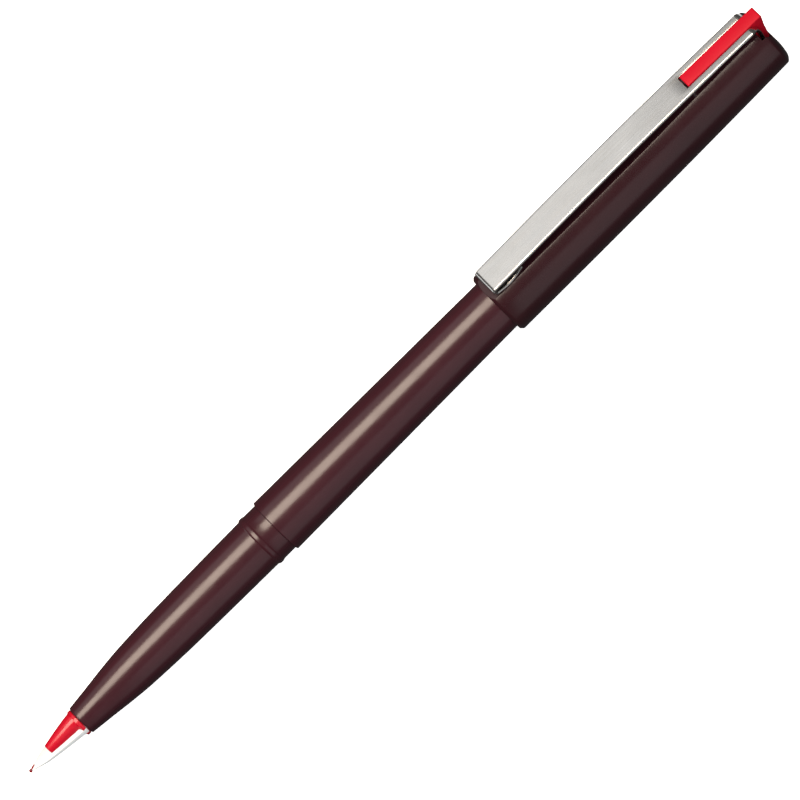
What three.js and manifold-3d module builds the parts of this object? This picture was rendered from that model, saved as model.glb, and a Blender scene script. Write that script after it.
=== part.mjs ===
// A disposable pen with a flexible plastic nib, its cap posted on the tail of the barrel.
//
// Every piece is drawn in the pen's own lengthwise frame, in millimetres: x runs along the pen's
// axis from the point of the nib (x = 0) to the cap's end, z = 0 is the axis, and +z is the side
// that carries the pocket clip. The finished group is moved so that its origin is under the
// middle of the pen, on the surface that the cap lies on.

import * as THREE from 'three';
import { mergeVertices } from 'three/addons/utils/BufferGeometryUtils.js';
import Module from 'manifold-3d';

const wasm = await Module();
wasm.setup();

// ---- Driving dimensions ---------------------------------------------------------------------

const TOTAL_LENGTH = 163.1;        // nib point to the outer corner of the colour plug
const ROUND_SEGMENTS = 48;         // facets round the large turned pieces
const SMALL_SEGMENTS = 24;         // facets round the small inner pieces
const THREAD_SEGMENTS = 12;        // facets round the ink core
const FINE_SEGMENTS = 96;          // facets round the drum that crowns the blade
const WORKING_GAP = 0.1;           // clearance between pieces that touch

// Grip section: a moulded cone that swells into the hand
const SECTION_MOUTH_X = 11.35;
const SECTION_MOUTH_RADIUS = 2.55;
const SNAP_RING_X = 50.9;          // the ring that the cap clicks over when the pen is capped
const SNAP_RING_RADIUS = 4.68;
const SECTION_LAND_RADIUS = 4.55;
const SECTION_SPIGOT_LENGTH = 8.0; // glued length inside the barrel
const SECTION_SPIGOT_RADIUS = 3.98;
const NIB_SEAT_RADIUS = 2.05;      // front bore, which holds the nib clamp
const NIB_SEAT_END_X = 19.5;
const HOLDER_SEAT_RADIUS = 2.95;
const HOLDER_SEAT_END_X = 32.0;
const RESERVOIR_BORE_RADIUS = 3.62;

// Barrel: a tapered tube
const BARREL_FRONT_X = 54.1;
const BARREL_FRONT_RADIUS = 4.93;
const BARREL_TAIL_X = 130.7;
const BARREL_TAPER = 0.00795;      // loss of radius for each millimetre of length
const BARREL_EDGE = 0.18;          // rounding of the front rim
const BARREL_TAIL_ROUND = 0.6;
const TAIL_PLUG_FRONT_X = 123.5;   // the cup that closes the tail
const TAIL_PLUG_WALL = 0.8;
const TAIL_PLUG_FLOOR = 1.2;
const TAIL_RIB_THICKNESS = 0.7;
const VENT_RADIUS = 0.4;

// Nib and its clamp, turned a little about the axis against the clip
const NIB_TURN = THREE.MathUtils.degToRad(-10);
const BLADE_START_X = 0.5;
const BLADE_END_X = 11.2;
const BLADE_CROWN_RADIUS = 3.0;    // the blade's upper face is rounded across
const BLADE_UNDER_Z = -0.44;       // lower face at the thick end, where the cradle sits
const BLADE_SPLIT_Z = 0.42;        // edge of the upper face at the thick end
const NIB_SHANK_RADIUS = 0.85;
const NIB_SHANK_END_X = 21.6;
const INK_CORE_RADIUS = 0.3;
const CLAMP_TAIL_RADIUS = 1.93;    // the two clamp halves, pushed into the section
const CLAMP_TAIL_END_X = 18.4;
const CLAMP_FLARE_X = 9.6;         // where each half begins to flare into its collar
const CLAMP_COLLAR_START_X = 10.7;
const CLAMP_COLLAR_END_X = 11.25;
const CLAMP_COLLAR_RADIUS = 2.42;
const CLAMP_GAP = 0.05;            // between the blade and each half of the clamp
const HOOD_FRONT_X = 4.64;
const HOOD_FRONT_Z = 0.47;         // height of the hood's own middle line at its front
const HOOD_RISE = THREE.MathUtils.degToRad(3.2);
const CRADLE_FRONT_X = 7.2;
const CRADLE_END_X = 10.5;

// Ink path
const HOLDER_FRONT_X = 19.7;
const HOLDER_END_X = 31.8;
const WICK_RADIUS = 1.0;
const WICK_FRONT_X = 21.8;
const WICK_END_X = 42.0;
const SLEEVE_RADIUS = 1.4;
const RESERVOIR_FRONT_X = 34.0;
const RESERVOIR_END_X = 120.5;
const RESERVOIR_RADIUS = 3.3;
const FILM_THICKNESS = 0.14;
const BARREL_BORE_RADIUS = 3.68;

// Cap
const CAP_MOUTH_X = 102.7;
const CAP_END_X = 162.35;
const CAP_MOUTH_RADIUS = 5.61;
const CAP_MOUTH_CHAMFER = 0.48;
const CAP_BELLY_X = 124.0;         // the fullest point
const CAP_BELLY_RADIUS = 5.66;
const CAP_END_RADIUS = 5.36;
const CAP_END_ROUND = 1.15;        // length of the rounding towards the closed end
const CAP_END_FLAT_RADIUS = 3.0;
const CAP_BORE_MOUTH_RADIUS = 4.68;
const CAP_BORE_END_RADIUS = 4.45;
const CAP_BORE_END_X = 158.9;
const CAP_FLAT_HEIGHT = 5.12;      // flat that runs the cap's whole length, under the clip
const NOTCH_FLOOR_X = 160.6;       // the notch in the cap's end that takes the clip's legs
const NOTCH_HALF_WIDTH = 3.0;
const NOTCH_BOTTOM_Z = 0.8;
const POCKET_FLOOR_X = 159.5;      // blind pocket for the colour plug's tenon
const POCKET_LOW_Z = 2.1;
const POCKET_HIGH_Z = 4.1;
const INNER_CAP_FRONT_X = 133.7;
const INNER_CAP_WALL = 0.6;
const INNER_CAP_FLOOR = 1.0;

// Clip: one folded strip of sheet steel
const CLIP_THICKNESS = 0.5;
const CLIP_WIDTH = 4.96;
const CLIP_NOSE_Z = 7.1;           // middle of the sheet at the free end
const CLIP_CREST_X = 132.0;        // the face is arched along its length, highest here
const CLIP_CREST_Z = 7.4;
const CLIP_ROOT_Z = 6.7;           // middle of the sheet at the cap's end
const CLIP_FOLD_X = 104.45;        // centre of the fold at the free end
const CLIP_FOLD_RADIUS = 0.6;
const CLIP_BEND_X = 160.1;         // centre of the bend over the cap's end
const CLIP_BEND_RADIUS = 1.05;
const CLIP_LEG_WIDTH = 3.9;        // across the two legs, which are narrower than the face
const CLIP_SHOULDER_Z = 6.4;       // where the face's full width ends above the legs
const CLIP_FOOT_Z = 1.45;
const FORK_START_X = 147.2;       // ahead of the plug, which the clip swings clear of
const FORK_WIDTH = 2.5;

// Colour plug: an L-shaped insert between the clip's two prongs
const PLUG_WIDTH = 2.34;
const PLUG_FRONT_X = 147.5;
const PLUG_FRONT_TOP_Z = 7.6;
const PLUG_END_TOP_Z = 7.08;
const PLUG_UNDER_Z = 6.3;
const PLUG_WEB_X = NOTCH_FLOOR_X + 0.15;
const PLUG_FOOT_X = 162.1;
const PLUG_WAIST = [162.6, 4.5];   // where the web's back begins to lean outwards
const PLUG_TOP_BEND = [154, 7.35]; // pulls the long top edge into a gentle curve

// ---- Geometry helpers -----------------------------------------------------------------------

function toSolid(geometry) {
  const bare = geometry.index ? geometry.toNonIndexed() : geometry.clone();
  bare.deleteAttribute('normal');
  bare.deleteAttribute('uv');
  const merged = mergeVertices(bare, 1e-5);
  return new wasm.Manifold(new wasm.Mesh({
    numProp: 3,
    vertProperties: new Float32Array(merged.attributes.position.array),
    triVerts: new Uint32Array(merged.index.array),
  }));
}

function toGeometry(solid) {
  const mesh = solid.getMesh();
  const geometry = new THREE.BufferGeometry();
  geometry.setAttribute('position', new THREE.BufferAttribute(mesh.vertProperties, 3));
  geometry.setIndex(new THREE.BufferAttribute(mesh.triVerts, 1));
  geometry.computeVertexNormals();
  return geometry;
}

// A turned piece about the pen's axis from [x, radius] points
function turned(profile, segments = ROUND_SEGMENTS) {
  const points = profile.map(([x, radius]) => new THREE.Vector2(radius, x));
  const geometry = new THREE.LatheGeometry(points, segments);
  geometry.rotateZ(-Math.PI / 2);
  return toSolid(geometry);
}

// A tube about the pen's axis: the outer profile out, the inner profile back, closed on itself
function turnedTube(outer, inner, segments = ROUND_SEGMENTS) {
  const profile = [...outer, ...[...inner].reverse()];
  return turned([...profile, profile[0]], segments);
}

function rod(startX, endX, radius, segments = SMALL_SEGMENTS) {
  return turned([[startX, 0], [startX, radius], [endX, radius], [endX, 0]], segments);
}

function pipe(startX, endX, outerRadius, innerRadius, segments = SMALL_SEGMENTS) {
  return turnedTube(
    [[startX, outerRadius], [endX, outerRadius]],
    [[startX, innerRadius], [endX, innerRadius]],
    segments,
  );
}

function box(low, high) {
  const size = high.map((value, axis) => value - low[axis]);
  const geometry = new THREE.BoxGeometry(...size);
  geometry.translate(...low.map((value, axis) => value + size[axis] / 2));
  return toSolid(geometry);
}

// An outline drawn from the side, in x and z, given a width across the pen
function fromSide(shape, width, divisions = 6) {
  const geometry = new THREE.ExtrudeGeometry(shape, {
    depth: width, bevelEnabled: false, curveSegments: divisions,
  });
  geometry.rotateX(Math.PI / 2);
  geometry.translate(0, width / 2, 0);
  return toSolid(geometry);
}

// An outline drawn from above, in x and y, given a height
function fromAbove(shape, lowZ, highZ) {
  const geometry = new THREE.ExtrudeGeometry(shape, {
    depth: highZ - lowZ, bevelEnabled: false, curveSegments: 6,
  });
  geometry.translate(0, 0, lowZ);
  return toSolid(geometry);
}

// A quarter-round corner between two points of a turned profile, bulging to the corner point
function roundedCorner(start, corner, end, steps = 4) {
  const curve = new THREE.QuadraticBezierCurve(
    new THREE.Vector2(...start), new THREE.Vector2(...corner), new THREE.Vector2(...end),
  );
  return curve.getPoints(steps).map((point) => [point.x, point.y]);
}

// Points of a smooth curve through the given [x, value] knots
function smoothThrough(knots, steps) {
  const curve = new THREE.SplineCurve(knots.map((knot) => new THREE.Vector2(...knot)));
  return curve.getPoints(steps).map((point) => [point.x, point.y]);
}

// A closed outline through plain pairs of coordinates
function outlineShape(points) {
  return new THREE.Shape(points.map((point) => new THREE.Vector2(...point)));
}

// The closed outline of a leaf from [x, half-width] edge points
function leafShape(edge) {
  const nearSide = edge.map(([x, halfWidth]) => [x, -halfWidth]);
  return outlineShape([...nearSide, ...[...edge].reverse()]);
}

// The closed outline of a bent strip: a centre line given half the sheet's thickness each way
function stripShape(centreLine, thickness) {
  const left = [];
  const right = [];
  centreLine.forEach((point, i) => {
    const before = centreLine[Math.max(i - 1, 0)];
    const after = centreLine[Math.min(i + 1, centreLine.length - 1)];
    const along = after.clone().sub(before).normalize();
    const across = new THREE.Vector2(-along.y, along.x).multiplyScalar(thickness / 2);
    left.push(point.clone().add(across));
    right.push(point.clone().sub(across));
  });
  return new THREE.Shape([...left, ...right.reverse()]);
}

// ---- Pieces of the pen ----------------------------------------------------------------------

function barrelRadiusAt(x) {
  return BARREL_FRONT_RADIUS - BARREL_TAPER * (x - BARREL_FRONT_X);
}

function barrel() {
  const spigotBore = SECTION_SPIGOT_RADIUS + WORKING_GAP;
  const spigotEndX = BARREL_FRONT_X + SECTION_SPIGOT_LENGTH + 0.5;
  const tailRadius = barrelRadiusAt(BARREL_TAIL_X);
  const outer = [
    ...roundedCorner(
      [BARREL_FRONT_X, BARREL_FRONT_RADIUS - BARREL_EDGE],
      [BARREL_FRONT_X, BARREL_FRONT_RADIUS],
      [BARREL_FRONT_X + BARREL_EDGE, BARREL_FRONT_RADIUS], 2,
    ),
    [CAP_MOUTH_X, barrelRadiusAt(CAP_MOUTH_X)],
    ...roundedCorner(
      [BARREL_TAIL_X - BARREL_TAIL_ROUND, barrelRadiusAt(BARREL_TAIL_X - BARREL_TAIL_ROUND)],
      [BARREL_TAIL_X, tailRadius],
      [BARREL_TAIL_X, tailRadius - BARREL_TAIL_ROUND * 0.6],
    ),
  ];
  const inner = [
    [BARREL_FRONT_X, spigotBore],
    [spigotEndX, spigotBore],
    [spigotEndX, BARREL_BORE_RADIUS],
    [BARREL_TAIL_X, BARREL_BORE_RADIUS],
  ];
  return turnedTube(outer, inner);
}

// The closed tail of the barrel: a moulded cup, with a rear stop that keeps the reservoir forward
function tailPlug() {
  const radius = BARREL_BORE_RADIUS - 0.03;
  const boreRadius = radius - TAIL_PLUG_WALL;
  const endX = BARREL_TAIL_X - 0.2;
  const floorX = endX - TAIL_PLUG_FLOOR;
  const chamfer = 0.3;
  const cup = turnedTube(
    [[TAIL_PLUG_FRONT_X, radius], [endX - chamfer, radius], [endX, radius - chamfer], [endX, VENT_RADIUS]],
    [[TAIL_PLUG_FRONT_X, boreRadius], [floorX, boreRadius], [floorX, VENT_RADIUS]],
  );
  const ribStart = RESERVOIR_END_X + WORKING_GAP;
  const ribEnd = floorX + WORKING_GAP;
  const ribReach = boreRadius + WORKING_GAP;
  const half = TAIL_RIB_THICKNESS / 2;
  const rib = box([ribStart, -half, -ribReach], [ribEnd, half, ribReach]);
  const crossRib = box([ribStart, -ribReach, -half], [ribEnd, ribReach, half]);
  const vent = rod(ribEnd - 2, BARREL_TAIL_X, VENT_RADIUS);
  return cup.add(rib).add(crossRib).subtract(vent);
}

function section() {
  const swell = smoothThrough([
    [SECTION_MOUTH_X + 0.45, 2.66], [15.7, 3.09], [18.8, 3.465], [21.9, 3.77],
    [25.0, 3.96], [31.2, 4.2], [40.5, 4.36], [SNAP_RING_X - 0.75, 4.46],
  ], 11);
  const outer = [
    [SECTION_MOUTH_X, SECTION_MOUTH_RADIUS],
    ...swell,
    [SNAP_RING_X - 0.3, SNAP_RING_RADIUS - 0.05],
    [SNAP_RING_X, SNAP_RING_RADIUS],
    [SNAP_RING_X + 0.35, SNAP_RING_RADIUS - 0.05],
    [SNAP_RING_X + 0.95, SECTION_LAND_RADIUS],
    [BARREL_FRONT_X - 0.05, SECTION_LAND_RADIUS - 0.02],
    [BARREL_FRONT_X - 0.05, SECTION_SPIGOT_RADIUS],
    [BARREL_FRONT_X + SECTION_SPIGOT_LENGTH - 0.4, SECTION_SPIGOT_RADIUS],
    [BARREL_FRONT_X + SECTION_SPIGOT_LENGTH, SECTION_SPIGOT_RADIUS - 0.15],
  ];
  const inner = [
    [SECTION_MOUTH_X, NIB_SEAT_RADIUS],
    [NIB_SEAT_END_X, NIB_SEAT_RADIUS],
    [NIB_SEAT_END_X, HOLDER_SEAT_RADIUS],
    [HOLDER_SEAT_END_X, HOLDER_SEAT_RADIUS],
    [HOLDER_SEAT_END_X, RESERVOIR_BORE_RADIUS],
    [BARREL_FRONT_X + SECTION_SPIGOT_LENGTH, RESERVOIR_BORE_RADIUS],
  ];
  return turnedTube(outer, inner);
}

// Half-widths of the blade as seen from above, from its point back to the clamp collar
const BLADE_EDGE = [
  [BLADE_START_X, 0.26], [0.8, 0.38], [1.47, 0.58], [2.6, 0.97], [4.0, 1.32],
  [7.0, 1.81], [9.2, 2.13], [BLADE_END_X, 2.4],
];

// Heights of the blade's upper face along its middle, and of its lower face
const BLADE_CREST = [[BLADE_START_X, 0.1], [1.5, 0.17], [4.2, 0.53], [7.0, 0.81], [BLADE_END_X, 1.22]];
const BLADE_BELLY = [[BLADE_START_X, -0.1], [1.5, -0.17], [4.0, -0.32], [BLADE_END_X, BLADE_UNDER_Z]];

// Radii of the ink core, in the bead at the writing point and in the thread behind it
const INK_BEAD = [
  [0, 0], [0.03, 0.12], [0.1, 0.2], [0.22, 0.26], [0.36, 0.25], [0.45, 0.17], [0.48, 0.06],
];
const INK_THREAD = [[1.4, 0.07], [3.2, 0.18], [5.5, INK_CORE_RADIUS]];

// Everything under the blade's crowned upper face, raised by a gap
function underCrown(gap) {
  const first = BLADE_CREST[0];
  const last = BLADE_CREST[BLADE_CREST.length - 1];
  const knots = [[first[0] - 1, first[1]], ...BLADE_CREST, [last[0] + gap, last[1]]];
  const drum = knots.map(([x, crest]) => [x, BLADE_CROWN_RADIUS + crest + gap]);
  const closed = [[drum[0][0], 0], ...drum, [drum[drum.length - 1][0], 0]];
  return turned(closed, FINE_SEGMENTS).translate([0, 0, -BLADE_CROWN_RADIUS]);
}

// A leaf-shaped blade, crowned above and thinning to its point, on a round shank
function nibLeaf() {
  const outline = [...BLADE_BELLY, [BLADE_END_X, 2], [BLADE_BELLY[0][0], 2]];
  const plan = fromAbove(leafShape(BLADE_EDGE), -1, 2);
  const blade = plan.intersect(fromSide(outlineShape(outline), 6)).intersect(underCrown(0));
  const shank = rod(BLADE_END_X - 0.1, NIB_SHANK_END_X, NIB_SHANK_RADIUS);
  const room = 0.03;
  const neckRadius = INK_BEAD[INK_BEAD.length - 1][1];
  const tunnel = turned([
    [BLADE_START_X - 0.1, 0],
    [BLADE_START_X - 0.1, neckRadius + room],
    ...INK_THREAD.map(([x, radius]) => [x, radius + room]),
    [NIB_SHANK_END_X + 1, INK_CORE_RADIUS + room],
    [NIB_SHANK_END_X + 1, 0],
  ], THREAD_SEGMENTS);
  return blade.add(shank).subtract(tunnel);
}

// The ink core: a bead at the writing point, then a thread that thickens in the blade
function nibInkCore() {
  return turned([
    ...INK_BEAD,
    ...INK_THREAD,
    [NIB_SHANK_END_X, INK_CORE_RADIUS], [NIB_SHANK_END_X, 0],
  ], THREAD_SEGMENTS);
}

// The collar and tail that both halves of the clamp share, cut to the heights of one half
function clampBack(keepLow, keepHigh) {
  const keep = box([CLAMP_FLARE_X - 1, -4, keepLow], [CLAMP_TAIL_END_X + 1, 4, keepHigh]);
  const back = turned([
    [CLAMP_FLARE_X, 0], [CLAMP_FLARE_X, 1.5], [10.1, 1.76], [10.4, 2.05],
    [CLAMP_COLLAR_START_X, CLAMP_COLLAR_RADIUS], [CLAMP_COLLAR_END_X, CLAMP_COLLAR_RADIUS],
    [CLAMP_COLLAR_END_X, CLAMP_TAIL_RADIUS], [CLAMP_TAIL_END_X, CLAMP_TAIL_RADIUS],
    [CLAMP_TAIL_END_X, 0],
  ]);
  return back.intersect(keep);
}

const shankRoom = () => rod(
  CLAMP_FLARE_X - 0.2, CLAMP_TAIL_END_X + 1, NIB_SHANK_RADIUS + CLAMP_GAP,
);

// Radii of the hood's arch about its own rising middle line, from its front back
const HOOD_ARCH = [
  [0, 0], [0, 0.86], [0.08, 0.93], [0.22, 0.98], [2.36, 1.31], [5.0, 1.64],
  [5.5, 1.78], [5.8, 1.95], [6.1, 1.95], [6.1, 0],
];

// A half-round arch that lies on the blade and flares into the clamp's collar
function nibHood() {
  const arch = turned(HOOD_ARCH).rotate([0, -THREE.MathUtils.radToDeg(HOOD_RISE), 0])
    .translate([HOOD_FRONT_X, 0, HOOD_FRONT_Z]);
  const lowest = BLADE_SPLIT_Z + CLAMP_GAP;
  const back = clampBack(lowest, 4);
  const front = arch.intersect(box([0, -4, 0.3], [CLAMP_COLLAR_END_X - 0.1, 4, 4]));
  return back.add(front).subtract(underCrown(CLAMP_GAP)).subtract(shankRoom());
}

// A short shoe under the blade, with the lower half of the collar
function nibCradle() {
  const highest = BLADE_UNDER_Z - CLAMP_GAP;
  const plan = leafShape([[CRADLE_FRONT_X, 0.6], [8.5, 1.2], [CRADLE_END_X, 1.7]]);
  const keel = outlineShape([
    [CRADLE_FRONT_X, highest], [CRADLE_FRONT_X, highest - 0.3], [9.0, -1.3],
    [CRADLE_END_X, -1.6], [CRADLE_END_X, highest],
  ]);
  const shoe = fromAbove(plan, -3, 3).intersect(fromSide(keel, 6));
  return clampBack(-4, highest).add(shoe).subtract(shankRoom());
}

// A bush inside the section that backs the clamp and centres the wick, with a groove for air
function nibHolder() {
  const body = pipe(HOLDER_FRONT_X, HOLDER_END_X, HOLDER_SEAT_RADIUS - 0.06, SLEEVE_RADIUS + 0.05,
    ROUND_SEGMENTS);
  const airGroove = box([HOLDER_FRONT_X - 1, -0.35, -4], [HOLDER_END_X + 1, 0.35, -2.4]);
  return body.subtract(airGroove);
}

function wickSleeve() {
  return pipe(WICK_FRONT_X + 0.2, HOLDER_END_X + 1.2, SLEEVE_RADIUS, WICK_RADIUS + 0.06);
}

function feedWick() {
  return turned([
    [WICK_FRONT_X, 0], [WICK_FRONT_X, WICK_RADIUS], [WICK_END_X - 1.5, WICK_RADIUS],
    [WICK_END_X, 0.3], [WICK_END_X, 0],
  ], SMALL_SEGMENTS);
}

function reservoirFibre() {
  const rodOfFibre = rod(RESERVOIR_FRONT_X, RESERVOIR_END_X, RESERVOIR_RADIUS, 32);
  const wickHole = turned([
    [RESERVOIR_FRONT_X - 1, 0], [RESERVOIR_FRONT_X - 1, WICK_RADIUS + 0.06],
    [WICK_END_X - 1.4, WICK_RADIUS + 0.06], [WICK_END_X + 0.2, 0.36], [WICK_END_X + 0.2, 0],
  ], SMALL_SEGMENTS);
  return rodOfFibre.subtract(wickHole);
}

function reservoirFilm() {
  const innerRadius = RESERVOIR_RADIUS + 0.03;
  return pipe(RESERVOIR_FRONT_X, RESERVOIR_END_X, innerRadius + FILM_THICKNESS, innerRadius, 32);
}

// ---- Pieces of the cap ----------------------------------------------------------------------

// The outside swells a little to the belly and falls away towards the closed end
function capRadiusAt(x) {
  const towardsMouth = x < CAP_BELLY_X;
  const rimX = towardsMouth ? CAP_MOUTH_X : CAP_END_X;
  const rimRadius = towardsMouth ? CAP_MOUTH_RADIUS : CAP_END_RADIUS;
  const reach = (x - CAP_BELLY_X) / (rimX - CAP_BELLY_X);
  return CAP_BELLY_RADIUS - (CAP_BELLY_RADIUS - rimRadius) * reach * reach;
}

function capBoreRadiusAt(x) {
  const depth = (x - CAP_MOUTH_X) / (CAP_BORE_END_X - CAP_MOUTH_X);
  return THREE.MathUtils.lerp(CAP_BORE_MOUTH_RADIUS, CAP_BORE_END_RADIUS, depth);
}

function capShell() {
  const outer = [
    [CAP_MOUTH_X, CAP_MOUTH_RADIUS - CAP_MOUTH_CHAMFER],
    ...[CAP_MOUTH_X + CAP_MOUTH_CHAMFER, 112, CAP_BELLY_X, 136, 148].map((x) => [x, capRadiusAt(x)]),
    ...roundedCorner(
      [CAP_END_X - CAP_END_ROUND, capRadiusAt(CAP_END_X - CAP_END_ROUND)],
      [CAP_END_X - 0.1, CAP_END_RADIUS - 0.15],
      [CAP_END_X, CAP_END_FLAT_RADIUS], 5,
    ),
    [CAP_END_X, 0],
  ];
  const inner = [
    [CAP_BORE_END_X, 0],
    [CAP_BORE_END_X, CAP_BORE_END_RADIUS],
    [CAP_MOUTH_X + 0.3, CAP_BORE_MOUTH_RADIUS],
    [CAP_MOUTH_X, CAP_BORE_MOUTH_RADIUS + 0.12],
  ];
  const lathed = turned([...outer, ...inner, outer[0]]);
  const flat = box([CAP_MOUTH_X - 1, -6, CAP_FLAT_HEIGHT], [CAP_END_X + 1, 6, 8]);
  const notch = box(
    [NOTCH_FLOOR_X, -NOTCH_HALF_WIDTH, NOTCH_BOTTOM_Z],
    [CAP_END_X + 1, NOTCH_HALF_WIDTH, 8],
  );
  const pocketHalfWidth = PLUG_WIDTH / 2 + 0.05;
  const pocket = box(
    [POCKET_FLOOR_X, -pocketHalfWidth, POCKET_LOW_Z],
    [NOTCH_FLOOR_X + 0.2, pocketHalfWidth, POCKET_HIGH_Z],
  );
  return lathed.subtract(flat).subtract(notch).subtract(pocket);
}

// The liner that seals the nib when the pen is capped
function innerCap() {
  const fit = 0.04;
  const frontRadius = capBoreRadiusAt(INNER_CAP_FRONT_X) - fit;
  const endX = CAP_BORE_END_X - 0.1;
  const endRadius = capBoreRadiusAt(endX) - fit;
  const floorX = endX - INNER_CAP_FLOOR;
  return turned([
    [INNER_CAP_FRONT_X, frontRadius - INNER_CAP_WALL],
    [INNER_CAP_FRONT_X, frontRadius],
    [endX, endRadius],
    [endX, 0],
    [floorX, 0],
    [floorX, endRadius - INNER_CAP_WALL - 0.25],
    [INNER_CAP_FRONT_X + 3, frontRadius - INNER_CAP_WALL - 0.15],
    [INNER_CAP_FRONT_X, frontRadius - INNER_CAP_WALL],
  ]);
}

// Centre line of the tongue folded back under the clip's free end, from its tip to the fold
const TONGUE_LINE = [
  [109.75, 6.5], [108.85, 6.12], [108.05, 5.82], [107.3, 5.62], [106.55, 5.54], [105.9, 5.58],
  [105.3, 5.72],
];

// Centre line of the arched face, from the fold to the bend
const CLIP_FACE_LINE = smoothThrough([
  [CLIP_FOLD_X, CLIP_NOSE_Z], [118, 7.34], [CLIP_CREST_X, CLIP_CREST_Z], [143, 7.22],
  [154, 6.9], [CLIP_BEND_X, CLIP_ROOT_Z],
], 16);

// Centre line of the legs in the cap's notch, from the bend to their feet
const LEG_LINE = [[161.25, 4.9], [161.15, 3.9], [160.97, CLIP_FOOT_Z]];

// Seen from the side: a tongue folded under the free end, the long face, and legs at the cap's end
function clip() {
  const path = new THREE.Path();
  path.moveTo(...TONGUE_LINE[0]);
  TONGUE_LINE.slice(1).forEach((point) => path.lineTo(...point));
  path.lineTo(CLIP_FOLD_X, CLIP_NOSE_Z - 2 * CLIP_FOLD_RADIUS);
  path.absarc(CLIP_FOLD_X, CLIP_NOSE_Z - CLIP_FOLD_RADIUS, CLIP_FOLD_RADIUS,
    -Math.PI / 2, -Math.PI * 1.5, true);
  CLIP_FACE_LINE.slice(1).forEach((point) => path.lineTo(...point));
  path.absarc(CLIP_BEND_X, CLIP_ROOT_Z - CLIP_BEND_RADIUS, CLIP_BEND_RADIUS, Math.PI / 2, 0, true);
  LEG_LINE.forEach((point) => path.lineTo(...point));
  const strip = fromSide(stripShape(path.getPoints(8), CLIP_THICKNESS), CLIP_WIDTH);
  const fork = box(
    [FORK_START_X, -FORK_WIDTH / 2, 0],
    [CAP_END_X + 1, FORK_WIDTH / 2, PLUG_FRONT_TOP_Z],
  );
  const shoulderX = CLIP_BEND_X - 0.5;
  const besideLegs = [-1, 1].map((side) => {
    const reach = [side * CLIP_LEG_WIDTH / 2, side * CLIP_WIDTH];
    return box([shoulderX, Math.min(...reach), 0], [CAP_END_X, Math.max(...reach), CLIP_SHOULDER_Z]);
  });
  return strip.subtract(fork).subtract(besideLegs[0]).subtract(besideLegs[1]);
}

function colourPlug() {
  const fit = 0.05;
  const bottomZ = NOTCH_BOTTOM_Z + 3 * fit;
  const tenonX = POCKET_FLOOR_X + 2 * fit;
  const cornerRadius = 0.35;
  const frontRadius = 0.25;
  const shape = new THREE.Shape();
  shape.moveTo(PLUG_FRONT_X, PLUG_UNDER_Z);
  shape.lineTo(PLUG_WEB_X - 1, PLUG_UNDER_Z);
  shape.quadraticCurveTo(PLUG_WEB_X, PLUG_UNDER_Z, PLUG_WEB_X, PLUG_UNDER_Z - 1);
  shape.lineTo(PLUG_WEB_X, POCKET_HIGH_Z - fit);
  shape.lineTo(tenonX, POCKET_HIGH_Z - fit);
  shape.lineTo(tenonX, POCKET_LOW_Z + fit);
  shape.lineTo(PLUG_WEB_X, POCKET_LOW_Z + fit);
  shape.lineTo(PLUG_WEB_X, bottomZ);
  shape.lineTo(PLUG_FOOT_X, bottomZ);
  shape.lineTo(...PLUG_WAIST);
  shape.lineTo(TOTAL_LENGTH, PLUG_END_TOP_Z - cornerRadius);
  shape.quadraticCurveTo(TOTAL_LENGTH, PLUG_END_TOP_Z, TOTAL_LENGTH - cornerRadius, PLUG_END_TOP_Z);
  shape.quadraticCurveTo(...PLUG_TOP_BEND, PLUG_FRONT_X + frontRadius, PLUG_FRONT_TOP_Z);
  shape.quadraticCurveTo(
    PLUG_FRONT_X, PLUG_FRONT_TOP_Z, PLUG_FRONT_X, PLUG_FRONT_TOP_Z - frontRadius,
  );
  return fromSide(shape, PLUG_WIDTH, 6);
}

// ---- Finishes -------------------------------------------------------------------------------

function finish(color, roughness, metalness = 0) {
  return new THREE.MeshStandardMaterial({ color, roughness, metalness });
}

const brownPlastic = () => finish(0x4a3033, 0.35);
const redPlastic = () => finish(0xd0142e, 0.35);
const inkedFibre = () => finish(0xb01028, 0.8);
const whitePlastic = () => finish(0xf0eee8, 0.45);
const clipSteel = () => finish(0xc8c9c6, 0.25, 1);
const clearFilm = () => finish(0xdfe3e6, 0.15);
const blackPlastic = () => finish(0x2a2426, 0.5);

// ---- Assembly -------------------------------------------------------------------------------

function piece(name, solid, material) {
  const mesh = new THREE.Mesh(toGeometry(solid), material);
  mesh.name = name;
  return mesh;
}

const nibUnit = new THREE.Group();
nibUnit.rotation.x = NIB_TURN;
nibUnit.add(
  piece('nib_leaf', nibLeaf(), whitePlastic()),
  piece('nib_ink_core', nibInkCore(), inkedFibre()),
  piece('nib_hood', nibHood(), redPlastic()),
  piece('nib_cradle', nibCradle(), redPlastic()),
);

const pen = new THREE.Group();
pen.position.set(-TOTAL_LENGTH / 2, 0, CAP_BELLY_RADIUS);
pen.add(
  piece('barrel', barrel(), brownPlastic()),
  piece('tail_plug', tailPlug(), brownPlastic()),
  piece('section', section(), brownPlastic()),
  nibUnit,
  piece('nib_holder', nibHolder(), blackPlastic()),
  piece('wick_sleeve', wickSleeve(), whitePlastic()),
  piece('feed_wick', feedWick(), inkedFibre()),
  piece('reservoir_fibre', reservoirFibre(), inkedFibre()),
  piece('reservoir_film', reservoirFilm(), clearFilm()),
  piece('cap_shell', capShell(), brownPlastic()),
  piece('inner_cap', innerCap(), blackPlastic()),
  piece('colour_plug', colourPlug(), redPlastic()),
  piece('clip', clip(), clipSteel()),
);

const model = new THREE.Group();
model.add(pen);

export default model;
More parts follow.
